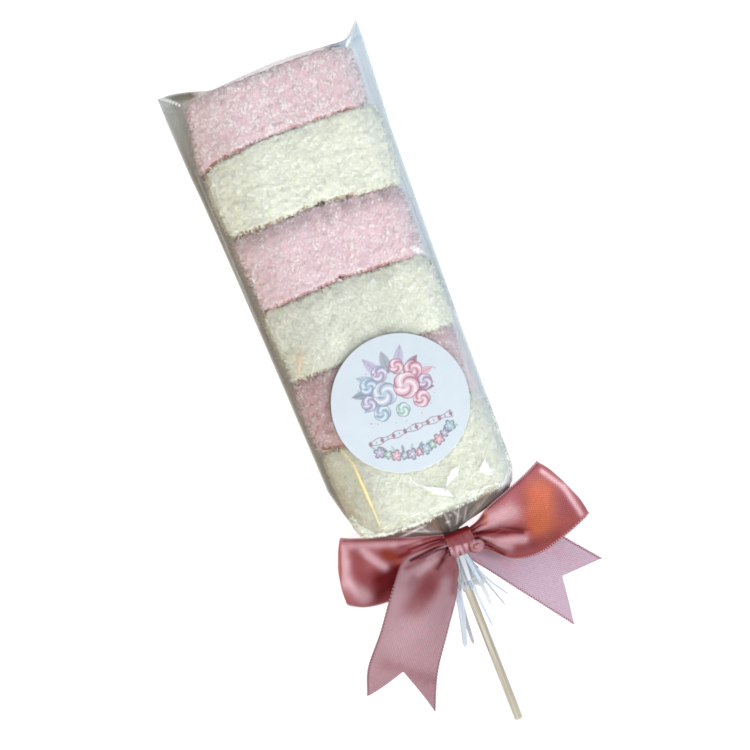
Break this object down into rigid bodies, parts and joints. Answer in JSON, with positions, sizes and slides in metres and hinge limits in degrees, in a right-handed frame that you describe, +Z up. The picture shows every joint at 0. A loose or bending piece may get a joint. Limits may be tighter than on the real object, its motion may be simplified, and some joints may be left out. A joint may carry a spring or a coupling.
{
  "type": "bagged marshmallow skewer",
  "caption": "Skewer of flake-coated marshmallow blocks in a clear film bag, tied round the stick with a satin ribbon bow, with a round label on the front.",
  "frame": {"origin": "centre of the flat back that the pack lies on, under the middle of the column of blocks", "axes": "+Z up through the front of the pack, +Y from the bare stick end to the sealed end of the bag, +X to the right seen from the front with the sealed end up"},
  "size_m": [0.0996, 0.2588, 0.0261],
  "materials": {
    "film": "clear glossy film over pink and cream coated blocks, shown here as one pale solid",
    "pink_coating": "soft pink sponge sweet under fine dried coconut flakes, matte",
    "cream_coating": "cream sponge sweet under fine dried coconut flakes, matte",
    "stick_wood": "bare bamboo with fine lengthwise grain",
    "label_paper": "smooth coated white sticker paper with a pastel print",
    "satin": "dusty rose double satin with woven edges"
  },
  "bodies": {
    "root": {"bag": "film", "skewer": "stick_wood", "label": "label_paper", "ribbon_bow": "satin"}
  },
  "joints": []
}
